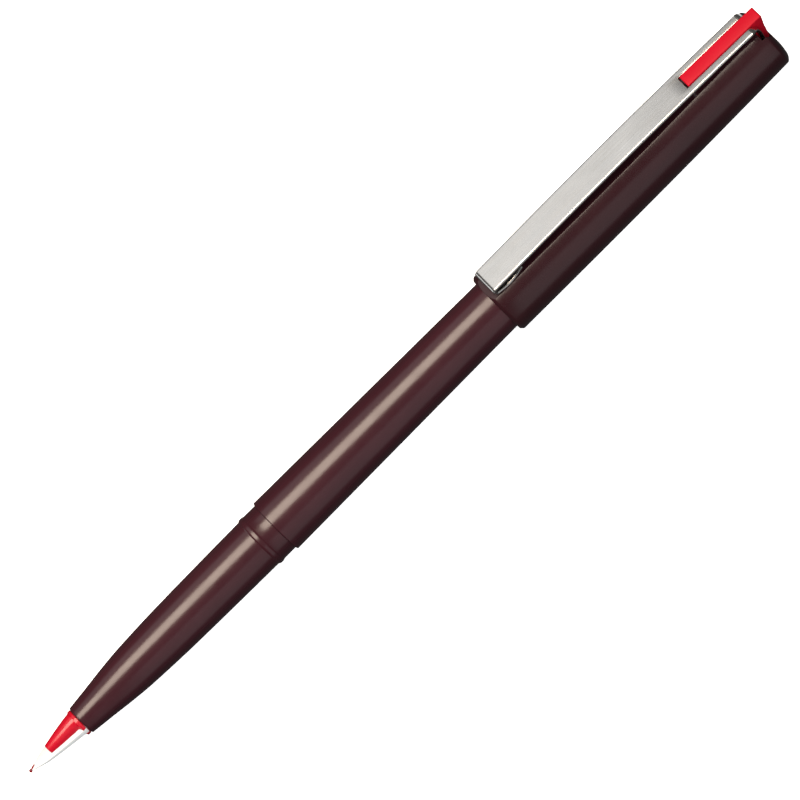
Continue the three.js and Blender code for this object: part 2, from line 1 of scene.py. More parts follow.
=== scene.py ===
# %% [markdown]
# # A capped brush pen, piece by piece
#
# The pen lies on a table with its cap pushed on the tail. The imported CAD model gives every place
# and every motion, and this lesson builds finer visible pieces around it: turned plastic shells,
# a folded steel clip, a moulded colour plug and a leaf-shaped nib under its hood.
#
# The first cell loads the CAD model as a fixed frame.

# %% Load the frame
import math

import bmesh
import bpy
from mathutils import Matrix, Vector


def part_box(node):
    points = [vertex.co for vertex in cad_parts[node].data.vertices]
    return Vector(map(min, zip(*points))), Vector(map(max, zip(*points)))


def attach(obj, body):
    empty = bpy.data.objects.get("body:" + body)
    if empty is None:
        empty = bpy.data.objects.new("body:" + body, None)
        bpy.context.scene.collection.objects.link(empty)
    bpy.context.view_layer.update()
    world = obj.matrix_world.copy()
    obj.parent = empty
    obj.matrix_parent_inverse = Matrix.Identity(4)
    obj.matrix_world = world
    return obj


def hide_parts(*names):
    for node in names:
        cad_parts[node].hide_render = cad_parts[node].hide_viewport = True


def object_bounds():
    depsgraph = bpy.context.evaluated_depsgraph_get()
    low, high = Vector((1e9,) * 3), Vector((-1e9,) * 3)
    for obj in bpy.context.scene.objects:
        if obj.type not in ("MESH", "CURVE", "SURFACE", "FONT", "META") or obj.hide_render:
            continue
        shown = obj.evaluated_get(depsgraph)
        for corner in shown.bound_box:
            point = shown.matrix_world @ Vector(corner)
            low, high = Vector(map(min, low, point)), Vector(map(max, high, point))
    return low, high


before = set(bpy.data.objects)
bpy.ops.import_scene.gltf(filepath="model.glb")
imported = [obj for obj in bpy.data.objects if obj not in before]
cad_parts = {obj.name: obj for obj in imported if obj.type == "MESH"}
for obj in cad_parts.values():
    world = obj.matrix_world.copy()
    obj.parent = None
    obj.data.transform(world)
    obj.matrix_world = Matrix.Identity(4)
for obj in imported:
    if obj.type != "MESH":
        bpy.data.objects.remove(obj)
CAD_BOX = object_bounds()

# %% [markdown]
# A pen is easiest to draw in its own lengthwise frame: millimetres along the axis from the point
# of the nib, with the axis at height zero. The frame tells where that axis is, so one matrix
# brings a finished mesh to its real place in metres. Baking it into the mesh keeps every
# object at the origin, unturned and unscaled, as the export wants.

# %% The pen's own frame
MM = 0.001


def extent(node):
    """Where a CAD piece begins and ends along the pen, in millimetres from the nib's point."""
    low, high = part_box(node)
    return (low.x - POINT_X) / MM, (high.x - POINT_X) / MM


POINT_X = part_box("nib_ink_core")[0].x
BARREL_LOW, BARREL_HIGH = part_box("barrel")
AXIS_Z = (BARREL_LOW.z + BARREL_HIGH.z) / 2
TO_PLACE = Matrix.Translation((POINT_X, 0, AXIS_Z)) @ Matrix.Diagonal((MM, MM, MM, 1))

SECTION_MOUTH_X, SECTION_END_X = extent("section")
BARREL_FRONT_X, BARREL_TAIL_X = extent("barrel")
CAP_MOUTH_X, CAP_END_X = extent("cap_shell")
PLUG_FRONT_X, PLUG_END_X = extent("colour_plug")
BARREL_FRONT_RADIUS = (BARREL_HIGH.z - BARREL_LOW.z) / 2 / MM
CAP_BELLY_RADIUS = (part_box("cap_shell")[1].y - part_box("cap_shell")[0].y) / 2 / MM
CAP_FLAT_HEIGHT = (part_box("cap_shell")[1].z - AXIS_Z) / MM
print(f"barrel from {BARREL_FRONT_X:.2f} to {BARREL_TAIL_X:.2f} mm, cap from {CAP_MOUTH_X:.2f}")
print(f"radii: barrel {BARREL_FRONT_RADIUS:.2f}, cap {CAP_BELLY_RADIUS:.2f}")
print(f"height of the cap's flat over the axis: {CAP_FLAT_HEIGHT:.2f}")

# %% [markdown]
# Most of the pen is turned: a profile drawn on one side of the axis and swept round it. The spin
# operator does exactly that, and `use_merge` welds its last step to its first. Two helpers draw
# the parts of a profile that aren't straight, a rounded corner and a swelling curve.

# %% Profiles and the spin
ROUND_STEPS = 144


def corner(start, peak, end, steps=5):
    """A quarter-round from start to end that bulges towards peak."""
    a, b, c = Vector(start), Vector(peak), Vector(end)
    blend = [i / steps for i in range(steps + 1)]
    return [tuple(a * (1 - t) ** 2 + b * 2 * t * (1 - t) + c * t ** 2) for t in blend]


def swell(knots, steps=6):
    """A smooth curve through the knots."""
    p = [Vector(k) for k in knots]
    p = [p[0] * 2 - p[1], *p, p[-1] * 2 - p[-2]]
    line = []
    for a, b, c, d in zip(p, p[1:], p[2:], p[3:]):
        for i in range(steps):
            t = i / steps
            line.append(tuple(
                (b * 2 + (c - a) * t + (a * 2 - b * 5 + c * 4 - d) * t ** 2
                 + (b * 3 - a - c * 3 + d) * t ** 3) / 2
            ))
    return [*line, tuple(p[-2])]


def spun(profile, closed=True, steps=ROUND_STEPS, tilt=0.0, centre=(0, 0, 0)):
    """A bmesh turned from [x, radius] points, about the pen's axis or one tilted beside it."""
    bm = bmesh.new()
    verts = [bm.verts.new((x, 0, radius)) for x, radius in profile]
    pairs = list(zip(verts, verts[1:]))
    if closed:
        pairs.append((verts[-1], verts[0]))
    edges = [bm.edges.new(pair) for pair in pairs]
    bmesh.ops.spin(
        bm, geom=verts + edges, cent=(0, 0, 0), axis=(1, 0, 0),
        angle=2 * math.pi, steps=steps, use_merge=True,
    )
    bmesh.ops.remove_doubles(bm, verts=bm.verts, dist=1e-5)
    bmesh.ops.recalc_face_normals(bm, faces=bm.faces)
    bm.transform(Matrix.Translation(centre) @ Matrix.Rotation(-tilt, 4, "Y"))
    return bm


# %% [markdown]
# Two pieces need a notch or a hollow that no single operator gives. For those a cutter is built
# as a second bmesh and taken away with an exact Boolean, and the result goes straight back into
# a bmesh, so that no modifier stays live. Sharp corners are then rounded with the bevel operator,
# which needs to know which edges count as sharp.

# %% Cutting and rounding
def boxed(low, high):
    """A block between two corners."""
    bm = bmesh.new()
    bmesh.ops.create_cube(bm, size=1)
    size = [b - a for a, b in zip(low, high)]
    middle = [(a + b) / 2 for a, b in zip(low, high)]
    bm.transform(Matrix.Translation(middle) @ Matrix.Diagonal((*size, 1)))
    return bm


def combined(bm, other, operation="DIFFERENCE"):
    """bm with another bmesh cut from it or joined to it."""
    pair = []
    for shape in (bm, other):
        mesh = bpy.data.meshes.new("working")
        shape.to_mesh(mesh)
        shape.free()
        pair.append(bpy.data.objects.new("working", mesh))
        bpy.context.scene.collection.objects.link(pair[-1])
    modifier = pair[0].modifiers.new("cut", "BOOLEAN")
    modifier.operation = operation
    modifier.solver = "EXACT"
    modifier.object = pair[1]
    cut = pair[0].evaluated_get(bpy.context.evaluated_depsgraph_get()).to_mesh()
    result = bmesh.new()
    result.from_mesh(cut)
    for o in pair:
        mesh = o.data
        bpy.data.objects.remove(o)
        bpy.data.meshes.remove(mesh)
    bmesh.ops.remove_doubles(result, verts=result.verts, dist=1e-5)
    bmesh.ops.dissolve_degenerate(result, dist=1e-5, edges=result.edges)
    return result


def sharp_edges(bm, degrees, keep=lambda middle: True):
    """The edges that turn by more than an angle, where keep says yes to the edge's middle."""
    limit = math.radians(degrees)
    return [
        e for e in bm.edges
        if len(e.link_faces) == 2 and e.calc_face_angle(0) > limit
        and keep((e.verts[0].co + e.verts[1].co) / 2)
    ]


def rounded(bm, edges, offset, segments=3):
    bmesh.ops.bevel(
        bm, geom=edges, offset=offset, offset_type="OFFSET", segments=segments,
        profile=0.5, affect="EDGES", material=-1, clamp_overlap=True,
    )
    return bm


# %% [markdown]
# Every piece ends the same way: it is brought to its place, shaded smooth except across true
# corners, given its finish and told which body carries it, and the CAD node it stands for is
# hidden.

# %% Finishing a piece
def finished(bm, name, body, node, material, crease=38):
    bmesh.ops.recalc_face_normals(bm, faces=bm.faces)
    bm.transform(TO_PLACE)
    mesh = bpy.data.meshes.new(name)
    bm.to_mesh(mesh)
    bm.free()
    mesh.polygons.foreach_set("use_smooth", [True] * len(mesh.polygons))
    mesh.set_sharp_from_angle(angle=math.radians(crease))
    mesh.materials.append(material)
    made = bpy.data.objects.new(name, mesh)
    bpy.context.scene.collection.objects.link(made)
    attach(made, body)
    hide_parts(node)
    low = [min(v.co[i] for v in mesh.vertices) / MM for i in range(3)]
    high = [max(v.co[i] for v in mesh.vertices) / MM for i in range(3)]
    size = " x ".join(f"{b - a:.2f}" for a, b in zip(low, high))
    print(f"{name}: {len(mesh.polygons)} faces, {size} mm")
    return made


# %% [markdown]
# ## Finishes
#
# A moulded plastic is never one flat colour. Its pigment varies faintly, the mould leaves a very
# fine waviness that breaks up reflections, and handling makes the gloss a little uneven. Noise on
# Object coordinates gives all three, at the right size because the coordinates are metres: a
# scale of 1000 makes features about a millimetre across.
#
# A small helper adds a node and fills its sockets, so that each recipe stays readable.

# %% A helper for node recipes
def add(tree, kind, inputs=None, **settings):
    made = tree.nodes.new(kind)
    for key, value in settings.items():
        setattr(made, key, value)
    for key, value in (inputs or {}).items():
        if isinstance(value, bpy.types.NodeSocket):
            tree.links.new(value, made.inputs[key])
        else:
            made.inputs[key].default_value = value
    return made


def new_material(name):
    material = bpy.data.materials.new(name)
    material.use_nodes = True
    tree = material.node_tree
    shader = tree.nodes["Principled BSDF"]
    place = add(tree, "ShaderNodeTexCoord").outputs["Object"]
    return material, tree, shader, place


def noise(tree, place, scale, detail=2.0, stretch=(1, 1, 1), distortion=0.0):
    """Noise with a value near 0.5 everywhere; stretch below 1 draws it out along an axis."""
    mapped = add(tree, "ShaderNodeMapping", {"Vector": place, "Scale": stretch})
    return add(tree, "ShaderNodeTexNoise", {
        "Vector": mapped.outputs["Vector"], "Scale": scale, "Detail": detail,
        "Distortion": distortion,
    }).outputs["Fac"]


def remap(tree, value, low, high, to_low, to_high):
    return add(tree, "ShaderNodeMapRange", {
        "Value": value, "From Min": low, "From Max": high, "To Min": to_low, "To Max": to_high,
    }).outputs["Result"]


def mixed(tree, factor, a, b):
    node = add(tree, "ShaderNodeMix", {"Factor": factor}, data_type="RGBA")
    for socket, value in ((node.inputs[6], a), (node.inputs[7], b)):
        if isinstance(value, bpy.types.NodeSocket):
            tree.links.new(value, socket)
        else:
            socket.default_value = (*value, 1)
    return node.outputs[2]


# %% [markdown]
# The moulded plastics share one recipe. `dark` and `light` are the ends of the pigment's faint
# variation, `gloss` is the roughness range and `shine` the strength of the reflection. The
# mould's own unevenness is in metres: a few micrometres soften the edge of a reflection.

# %% Moulded plastic
MOULD_WAVE = 2.5e-6


def moulded_plastic(name, dark, light, gloss, shine=0.5):
    material, tree, shader, place = new_material(name)
    pigment = noise(tree, place, 260, 3.0, (0.35, 1, 1))
    shade = remap(tree, pigment, 0.3, 0.7, 0.0, 1.0)
    tree.links.new(mixed(tree, shade, dark, light), shader.inputs["Base Color"])
    cloud = noise(tree, place, 420, 2.0)
    tree.links.new(remap(tree, cloud, 0.3, 0.7, *gloss), shader.inputs["Roughness"])
    peel = noise(tree, place, 1500, 2.0)
    bump = add(tree, "ShaderNodeBump", {"Height": peel, "Strength": 0.55, "Distance": MOULD_WAVE})
    tree.links.new(bump.outputs["Normal"], shader.inputs["Normal"])
    shader.inputs["IOR"].default_value = 1.5
    shader.inputs["Specular IOR Level"].default_value = shine
    return material


BARREL_BROWN = moulded_plastic(
    "barrel_brown", (0.038, 0.0083, 0.0132), (0.045, 0.0105, 0.0162), (0.22, 0.27),
)
# The cap is the same brown plastic as the barrel; its darker colour here is painted shade.
CAP_BROWN_SHADED = moulded_plastic(
    "cap_brown_painted_shade", (0.025, 0.0058, 0.0086), (0.031, 0.0076, 0.0108), (0.22, 0.27),
)
COLOUR_RED = moulded_plastic(
    "colour_red", (0.49, 0.002, 0.015), (0.55, 0.004, 0.021), (0.40, 0.46), 0.2,
)
NIB_RED = moulded_plastic(
    "nib_red", (0.50, 0.003, 0.018), (0.56, 0.005, 0.024), (0.20, 0.25),
)
INNER_DARK = moulded_plastic(
    "inner_dark", (0.022, 0.017, 0.018), (0.03, 0.022, 0.024), (0.42, 0.5),
)
print("moulded plastics:", BARREL_BROWN.name, CAP_BROWN_SHADED.name, COLOUR_RED.name, NIB_RED.name)

# %% [markdown]
# The nib is cut from a white, slightly translucent engineering plastic. Light enters it and
# scatters for a fraction of a millimetre, which softens its shadows. In use the ink climbs along
# one edge behind the point, so red is mixed in by distance from the point and by side, with noise
# to break up the edge of the stain. A weak emission stands for the light that the pale table
# sends through the thin blade.

# %% Nib plastic with its ink stain
NIB_TURN = math.radians(-10)
STAIN_LENGTH = 1.5 * MM
NIB_GLOW = 0.27


def nib_plastic():
    material, tree, shader, place = new_material("nib_white")
    at_point = add(tree, "ShaderNodeMapping", {
        "Vector": place, "Location": (-POINT_X, 0, -AXIS_Z),
    }).outputs["Vector"]
    parts = add(tree, "ShaderNodeSeparateXYZ", {"Vector": at_point})
    ragged = noise(tree, place, 2600, 2.0)
    wander = remap(tree, ragged, 0.3, 0.7, -0.25 * MM, 0.25 * MM)
    reach = add(tree, "ShaderNodeMath", {0: parts.outputs["X"], 1: wander}, operation="ADD")
    near_point = remap(tree, reach.outputs[0], STAIN_LENGTH, 0.75 * STAIN_LENGTH, 0.0, 1.0)
    # the stain hugs the far edge: its middle line moves out as the blade widens
    middle = add(tree, "ShaderNodeMath", {
        0: parts.outputs["X"], 1: 0.36, 2: 0.02 * MM,
    }, operation="MULTIPLY_ADD")
    side = add(tree, "ShaderNodeMath", {
        0: parts.outputs["Y"], 1: middle.outputs[0],
    }, operation="SUBTRACT")
    beside = remap(tree, side.outputs[0], -0.36 * MM, -0.26 * MM, 0.0, 1.0)
    stain = add(tree, "ShaderNodeMath", {0: near_point, 1: beside}, operation="MULTIPLY")
    cloud = remap(tree, noise(tree, place, 700, 2.0), 0.3, 0.7, 0.0, 1.0)
    white = mixed(tree, cloud, (0.66, 0.69, 0.70), (0.70, 0.73, 0.74))
    inked = mixed(tree, stain.outputs[0], white, (0.24, 0.004, 0.014))
    tree.links.new(inked, shader.inputs["Base Color"])
    tree.links.new(inked, shader.inputs["Emission Color"])
    shader.inputs["Emission Strength"].default_value = NIB_GLOW
    tree.links.new(remap(tree, cloud, 0.0, 1.0, 0.36, 0.44), shader.inputs["Roughness"])
    shader.inputs["Subsurface Weight"].default_value = 0.35
    shader.inputs["Subsurface Radius"].default_value = (0.6, 0.5, 0.45)
    shader.inputs["Subsurface Scale"].default_value = 0.8 * MM
    return material


NIB_WHITE = nib_plastic()
print("nib plastic:", NIB_WHITE.name)

# %% [markdown]
# The clip is spring steel, ground along its length and then polished. Fine grain that is very
# long in one direction and very fine across it does two things: it tilts the surface a little
# from side to side, and it varies the gloss. Both come from one stretched noise.

# %% Clip steel
def brushed_steel():
    material, tree, shader, place = new_material("clip_steel")
    grain = noise(tree, place, 9000, 2.0, (0.012, 1, 1))
    cloud = noise(tree, place, 320, 3.0, (0.5, 1, 1))
    tint = remap(tree, cloud, 0.3, 0.7, 0.0, 1.0)
    tree.links.new(
        mixed(tree, tint, (0.66, 0.655, 0.64), (0.74, 0.735, 0.72)), shader.inputs["Base Color"],
    )
    soft = remap(tree, grain, 0.3, 0.7, 0.18, 0.26)
    tree.links.new(soft, shader.inputs["Roughness"])
    bump = add(tree, "ShaderNodeBump", {"Height": grain, "Strength": 0.5, "Distance": 1.2e-6})
    tree.links.new(bump.outputs["Normal"], shader.inputs["Normal"])
    shader.inputs["Metallic"].default_value = 1.0
    return material


CLIP_STEEL = brushed_steel()
print("steel:", CLIP_STEEL.name)

# %% [markdown]
# Three finishes stay inside the pen: bonded fibre soaked with ink, in the reservoir and the wick,
# the clear film that wraps the reservoir, and the wet core of the nib. Fibre is drawn as noise
# pulled out along the pen, with a strong bump and almost no gloss.

# %% Inked fibre and film
def inked_fibre(name, wetness, dark=(0.26, 0.003, 0.010), light=(0.55, 0.012, 0.03)):
    material, tree, shader, place = new_material(name)
    strands = noise(tree, place, 4200, 3.0, (0.08, 1, 1))
    depth = remap(tree, strands, 0.3, 0.7, 0.0, 1.0)
    tree.links.new(mixed(tree, depth, dark, light), shader.inputs["Base Color"])
    tree.links.new(
        remap(tree, depth, 0.0, 1.0, 0.9 - wetness, 0.75 - wetness), shader.inputs["Roughness"],
    )
    bump = add(tree, "ShaderNodeBump", {"Height": strands, "Strength": 0.8, "Distance": 3e-5})
    tree.links.new(bump.outputs["Normal"], shader.inputs["Normal"])
    return material


def clear_film():
    material, tree, shader, place = new_material("clear_film")
    ripple = noise(tree, place, 600, 2.0, (0.4, 1, 1))
    tree.links.new(remap(tree, ripple, 0.3, 0.7, 0.06, 0.16), shader.inputs["Roughness"])
    bump = add(tree, "ShaderNodeBump", {"Height": ripple, "Strength": 0.4, "Distance": 2e-5})
    tree.links.new(bump.outputs["Normal"], shader.inputs["Normal"])
    shader.inputs["Base Color"].default_value = (0.9, 0.93, 0.95, 1)
    shader.inputs["Transmission Weight"].default_value = 0.8
    return material


FIBRE_RED = inked_fibre("reservoir_red", 0.0)
CORE_RED = inked_fibre("core_red", 0.45, (0.15, 0.002, 0.008), (0.26, 0.005, 0.016))
FILM_CLEAR = clear_film()
print("inside finishes:", FIBRE_RED.name, CORE_RED.name, FILM_CLEAR.name)

# %% [markdown]
# ## The barrel
#
# The barrel is one long moulded tube that tapers slightly so that it leaves its mould. The front
# rim is barely broken, because it meets the grip section there, and the tail is rounded so that
# the cap slides on. The profile runs along the outside and back through the stepped bore, and a
# closed profile makes a closed tube with no poles.

# %% Barrel
BARREL_TAPER = 0.00795      # millimetres of radius lost for each millimetre of length
RIM_ROUND = 0.18
TAIL_ROUND = 0.6
SPIGOT_BORE = 4.08
SPIGOT_BORE_END_X = BARREL_FRONT_X + 8.5
BARREL_BORE = 3.68


def barrel_radius(x):
    return BARREL_FRONT_RADIUS - BARREL_TAPER * (x - BARREL_FRONT_X)


tail_radius = barrel_radius(BARREL_TAIL_X)
barrel_profile = [
    *corner(
        (BARREL_FRONT_X, BARREL_FRONT_RADIUS - RIM_ROUND), (BARREL_FRONT_X, BARREL_FRONT_RADIUS),
        (BARREL_FRONT_X + RIM_ROUND, barrel_radius(BARREL_FRONT_X + RIM_ROUND)),
    ),
    *[(x, barrel_radius(x)) for x in (65, 78, 90, CAP_MOUTH_X, 116)],
    *corner(
        (BARREL_TAIL_X - TAIL_ROUND, barrel_radius(BARREL_TAIL_X - TAIL_ROUND)),
        (BARREL_TAIL_X, tail_radius), (BARREL_TAIL_X, tail_radius - 0.6 * TAIL_ROUND),
    ),
    (BARREL_TAIL_X, BARREL_BORE + 0.12),
    (BARREL_TAIL_X - 0.12, BARREL_BORE),
    (SPIGOT_BORE_END_X, BARREL_BORE),
    (SPIGOT_BORE_END_X, SPIGOT_BORE),
    (BARREL_FRONT_X, SPIGOT_BORE),
]
barrel = finished(
    spun(barrel_profile), "barrel_tube", "pen", "barrel", BARREL_BROWN,
)

# %% [markdown]
# The tail is closed by a moulded cup with a small vent hole. Only its end shows, and only when
# the cap is off. Two crossed ribs inside it keep the ink reservoir forward.

# %% Tail plug
VENT_RADIUS = 0.4
PLUG_LOW, PLUG_HIGH = extent("tail_plug")
CUP_RADIUS = BARREL_BORE - 0.03
CUP_WALL = 0.8
CUP_FRONT_X = 123.5
CUP_FLOOR = 1.2
cup_profile = [
    (CUP_FRONT_X, CUP_RADIUS),
    (PLUG_HIGH - 0.3, CUP_RADIUS),
    *corner((PLUG_HIGH - 0.3, CUP_RADIUS), (PLUG_HIGH, CUP_RADIUS), (PLUG_HIGH, CUP_RADIUS - 0.3)),
    (PLUG_HIGH, VENT_RADIUS + 0.15),
    (PLUG_HIGH - 0.15, VENT_RADIUS),
    (PLUG_HIGH - CUP_FLOOR, VENT_RADIUS),
    (PLUG_HIGH - CUP_FLOOR, CUP_RADIUS - CUP_WALL),
    (CUP_FRONT_X, CUP_RADIUS - CUP_WALL),
]
cup = spun(cup_profile)
rib_reach, rib_half = CUP_RADIUS - CUP_WALL + 0.05, 0.35
rib_end = PLUG_HIGH - CUP_FLOOR - 0.4
for low, high in (
    ((PLUG_LOW, -rib_half, -rib_reach), (rib_end, rib_half, rib_reach)),
    ((PLUG_LOW, -rib_reach, -rib_half), (rib_end, rib_reach, rib_half)),
):
    cup = combined(cup, boxed(low, high), "UNION")
tail_plug = finished(cup, "tail_cup", "pen", "tail_plug", BARREL_BROWN)

# %% [markdown]
# ## The grip section
#
# The section swells quickly behind the nib and then flattens into the hand. Its curve is drawn
# through a few knots. Behind it stand the small ring that the cap clicks over, and a plain land
# that runs under the barrel's rim. The spigot beyond is glued inside the barrel.

# %% Grip section
SNAP_RING_X, SNAP_RING_RADIUS = 50.9, 4.68
LAND_RADIUS = 4.55
SPIGOT_RADIUS = 3.98
NIB_SEAT_RADIUS, NIB_SEAT_END_X = 2.05, 19.5
HOLDER_SEAT_RADIUS, HOLDER_SEAT_END_X = 2.95, 32.0
RESERVOIR_BORE = 3.62
MOUTH_RADIUS = 2.55
grip_curve = swell([
    (SECTION_MOUTH_X + 0.12, MOUTH_RADIUS + 0.07), (13.4, 2.84), (15.7, 3.09), (18.8, 3.465),
    (21.9, 3.77), (25.0, 3.96), (31.2, 4.2), (40.5, 4.36), (SNAP_RING_X - 0.8, 4.46),
])
section_profile = [
    (SECTION_MOUTH_X, NIB_SEAT_RADIUS),
    *corner(
        (SECTION_MOUTH_X, MOUTH_RADIUS - 0.05), (SECTION_MOUTH_X, MOUTH_RADIUS + 0.04),
        grip_curve[0], 4,
    ),
    *grip_curve[1:],
    *corner(
        (SNAP_RING_X - 0.45, LAND_RADIUS - 0.06), (SNAP_RING_X - 0.3, SNAP_RING_RADIUS),
        (SNAP_RING_X, SNAP_RING_RADIUS), 4,
    ),
    *corner(
        (SNAP_RING_X + 0.25, SNAP_RING_RADIUS), (SNAP_RING_X + 0.45, SNAP_RING_RADIUS),
        (SNAP_RING_X + 0.7, LAND_RADIUS), 4,
    ),
    (BARREL_FRONT_X - 0.05, LAND_RADIUS - 0.02),
    (BARREL_FRONT_X - 0.05, SPIGOT_RADIUS),
    (SECTION_END_X - 0.4, SPIGOT_RADIUS),
    (SECTION_END_X, SPIGOT_RADIUS - 0.15),
    (SECTION_END_X, RESERVOIR_BORE),
    (HOLDER_SEAT_END_X, RESERVOIR_BORE),
    (HOLDER_SEAT_END_X, HOLDER_SEAT_RADIUS),
    (NIB_SEAT_END_X, HOLDER_SEAT_RADIUS),
    (NIB_SEAT_END_X, NIB_SEAT_RADIUS),
]
section = finished(
    spun(section_profile), "grip_section", "pen", "section", BARREL_BROWN,
)

# %% [markdown]
# ## The nib
#
# The blade is a leaf: flat below, crowned above, and thinning to its point. A grid gives it rows
# along and columns across. The columns are drawn in to the leaf's edge and the rows are lifted to
# the crown, then the grid is extruded downwards and the new faces are laid on the flat underside.
# Rounding the rim with a bevel keeps it from looking cut out of paper. The whole nib unit is
# turned a little about the pen's axis against the clip.
#
# The outline, the crest and the flat underside are each a curve of a few knots, measured from the
# point, and `height_at` reads any of them at a place between two knots.

# %% Curves of the blade
BLADE_START_X, BLADE_END_X = 0.5, 11.2
CROWN_RADIUS = 3.0
BLADE_EDGE = [
    (BLADE_START_X, 0.26), (0.8, 0.38), (1.47, 0.58), (2.6, 0.97), (4.0, 1.32), (7.0, 1.81),
    (9.2, 2.13), (BLADE_END_X, 2.4),
]
BLADE_CREST = [
    (BLADE_START_X, 0.1), (1.5, 0.17), (4.2, 0.53), (7.0, 0.81), (BLADE_END_X, 1.22),
]
BLADE_BELLY = [(BLADE_START_X, -0.1), (1.5, -0.17), (4.0, -0.32), (BLADE_END_X, -0.44)]


def height_at(line, x):
    """The value of a curve of [x, value] points at x."""
    for (x0, v0), (x1, v1) in zip(line, line[1:]):
        if x <= x1:
            return v0 + (v1 - v0) * (x - x0) / (x1 - x0)
    return line[-1][1]


EDGE_CURVE, CREST_CURVE, BELLY_CURVE = swell(BLADE_EDGE), swell(BLADE_CREST), swell(BLADE_BELLY)
print(f"blade {2 * BLADE_EDGE[-1][1]:.1f} mm wide at its root, {BLADE_CREST[-1][1]:.2f} mm crest")

# %% [markdown]
# The grid's rows are spaced closer towards the point, where the curves bend most. The shank is
# a plain rod that the clamp grips, joined to the blade with a Boolean union.

# %% Nib blade
BLADE_ROWS, BLADE_COLUMNS = 64, 20
ROW_CROWDING = 1.6
BLADE_RIM_ROUND = 0.05
NIB_SHANK_RADIUS, NIB_SHANK_END_X = 0.85, 21.6


def nib_blade():
    bm = bmesh.new()
    bmesh.ops.create_grid(bm, x_segments=BLADE_ROWS, y_segments=BLADE_COLUMNS, size=1)
    for v in bm.verts:
        along = (v.co.x + 1) / 2
        x = BLADE_START_X + (BLADE_END_X - BLADE_START_X) * along ** ROW_CROWDING
        y = v.co.y * height_at(EDGE_CURVE, x)
        drum = CROWN_RADIUS + height_at(CREST_CURVE, x)
        v.co = (x, y, math.sqrt(drum ** 2 - y * y) - CROWN_RADIUS)
    top = list(bm.faces)
    under = bmesh.ops.extrude_face_region(bm, geom=top, use_keep_orig=True)["geom"]
    for v in under:
        if isinstance(v, bmesh.types.BMVert):
            v.co.z = height_at(BELLY_CURVE, v.co.x)
    bmesh.ops.recalc_face_normals(bm, faces=bm.faces)
    rim = sharp_edges(bm, 50, lambda middle: middle.x < BLADE_END_X - 0.01)
    return rounded(bm, rim, BLADE_RIM_ROUND, 2)


shank = spun([
    (BLADE_END_X - 0.1, 0), (BLADE_END_X - 0.1, NIB_SHANK_RADIUS),
    (NIB_SHANK_END_X, NIB_SHANK_RADIUS), (NIB_SHANK_END_X, 0),
], closed=False, steps=48)
blade = combined(nib_blade(), shank, "UNION")
blade.transform(Matrix.Rotation(NIB_TURN, 4, "X"))
nib_leaf = finished(blade, "nib_blade", "pen", "nib_leaf", NIB_WHITE)

# %% [markdown]
# The ink core ends in a tiny wet bead, the writing point itself. It is a turned shape of a few
# tenths of a millimetre, so a short profile is enough.

# %% Ink core
core_profile = [
    *corner((0, 0), (0, 0.26), (0.2, 0.3)), *corner((0.32, 0.3), (0.49, 0.28), (0.49, 0.06)),
    (1.4, 0.07), (3.2, 0.18), (5.5, 0.3), (NIB_SHANK_END_X, 0.3), (NIB_SHANK_END_X, 0),
]
ink_core = finished(
    spun(core_profile, closed=False, steps=32), "ink_core", "pen", "nib_ink_core",
    CORE_RED,
)

# %% [markdown]
# Two halves of a clamp hold the blade. The upper one is a half-round arch that rises towards the
# section and flares into a collar. It is turned whole about its own slightly rising axis, and
# then a drum with the blade's crown radius is cut away, so that it sits on the blade with a hair
# of clearance.

# %% Nib hood and cradle
HOOD_FRONT_X = extent("nib_hood")[0]
HOOD_RISE = math.radians(3.2)
HOOD_AXIS_Z = 0.47
COLLAR_END_X, COLLAR_RADIUS = 11.25, 2.42
CLAMP_TAIL_END_X, CLAMP_TAIL_RADIUS = extent("nib_hood")[1], 1.93
CLAMP_GAP, CLAMP_ROUND = 0.05, 0.04
SPLIT_Z, UNDER_Z = 0.42, -0.44


def under_crown():
    """Everything below the blade's upper face, raised by the clamp's clearance."""
    lift = CROWN_RADIUS + CLAMP_GAP
    line = [(x, lift + z) for x, z in CREST_CURVE]
    ends = [(-1, line[0][1]), *line, (BLADE_END_X + CLAMP_GAP, line[-1][1])]
    return spun(
        [(-1, 0), *ends, (BLADE_END_X + CLAMP_GAP, 0)], closed=False, steps=192,
        centre=(0, 0, -CROWN_RADIUS),
    )


def clamp_collar():
    return spun([
        (9.6, 0), (9.6, 1.55), *corner((9.65, 1.6), (10.35, 1.76), (10.65, COLLAR_RADIUS), 8),
        (COLLAR_END_X - 0.08, COLLAR_RADIUS), (COLLAR_END_X, COLLAR_RADIUS - 0.08),
        (COLLAR_END_X, CLAMP_TAIL_RADIUS), (CLAMP_TAIL_END_X, CLAMP_TAIL_RADIUS), (CLAMP_TAIL_END_X, 0),
    ], closed=False, steps=96)


def shank_room():
    return spun([
        (9, 0), (9, NIB_SHANK_RADIUS + CLAMP_GAP), (CLAMP_TAIL_END_X + 1, NIB_SHANK_RADIUS + CLAMP_GAP),
        (CLAMP_TAIL_END_X + 1, 0),
    ], closed=False, steps=48)


def clamp_arrises(half):
    """The sharp edges of a clamp half that can be seen in front of the collar's back."""
    return sharp_edges(half, 55, lambda middle: middle.x < COLLAR_END_X)


def nib_hood():
    arch = spun([
        (0, 0), *corner((0, 0.8), (0, 0.95), (0.16, 0.97)), (2.36, 1.31), (5.0, 1.64),
        (6.2, 1.72), (6.2, 0),
    ], closed=False, steps=96, tilt=HOOD_RISE, centre=(HOOD_FRONT_X, 0, HOOD_AXIS_Z))
    hood = combined(arch, clamp_collar(), "UNION")
    hood = combined(hood, boxed((0, -4, -5), (30, 4, SPLIT_Z + CLAMP_GAP)))
    hood = combined(hood, under_crown())
    hood = combined(hood, shank_room())
    return rounded(hood, clamp_arrises(hood), CLAMP_ROUND, 2)


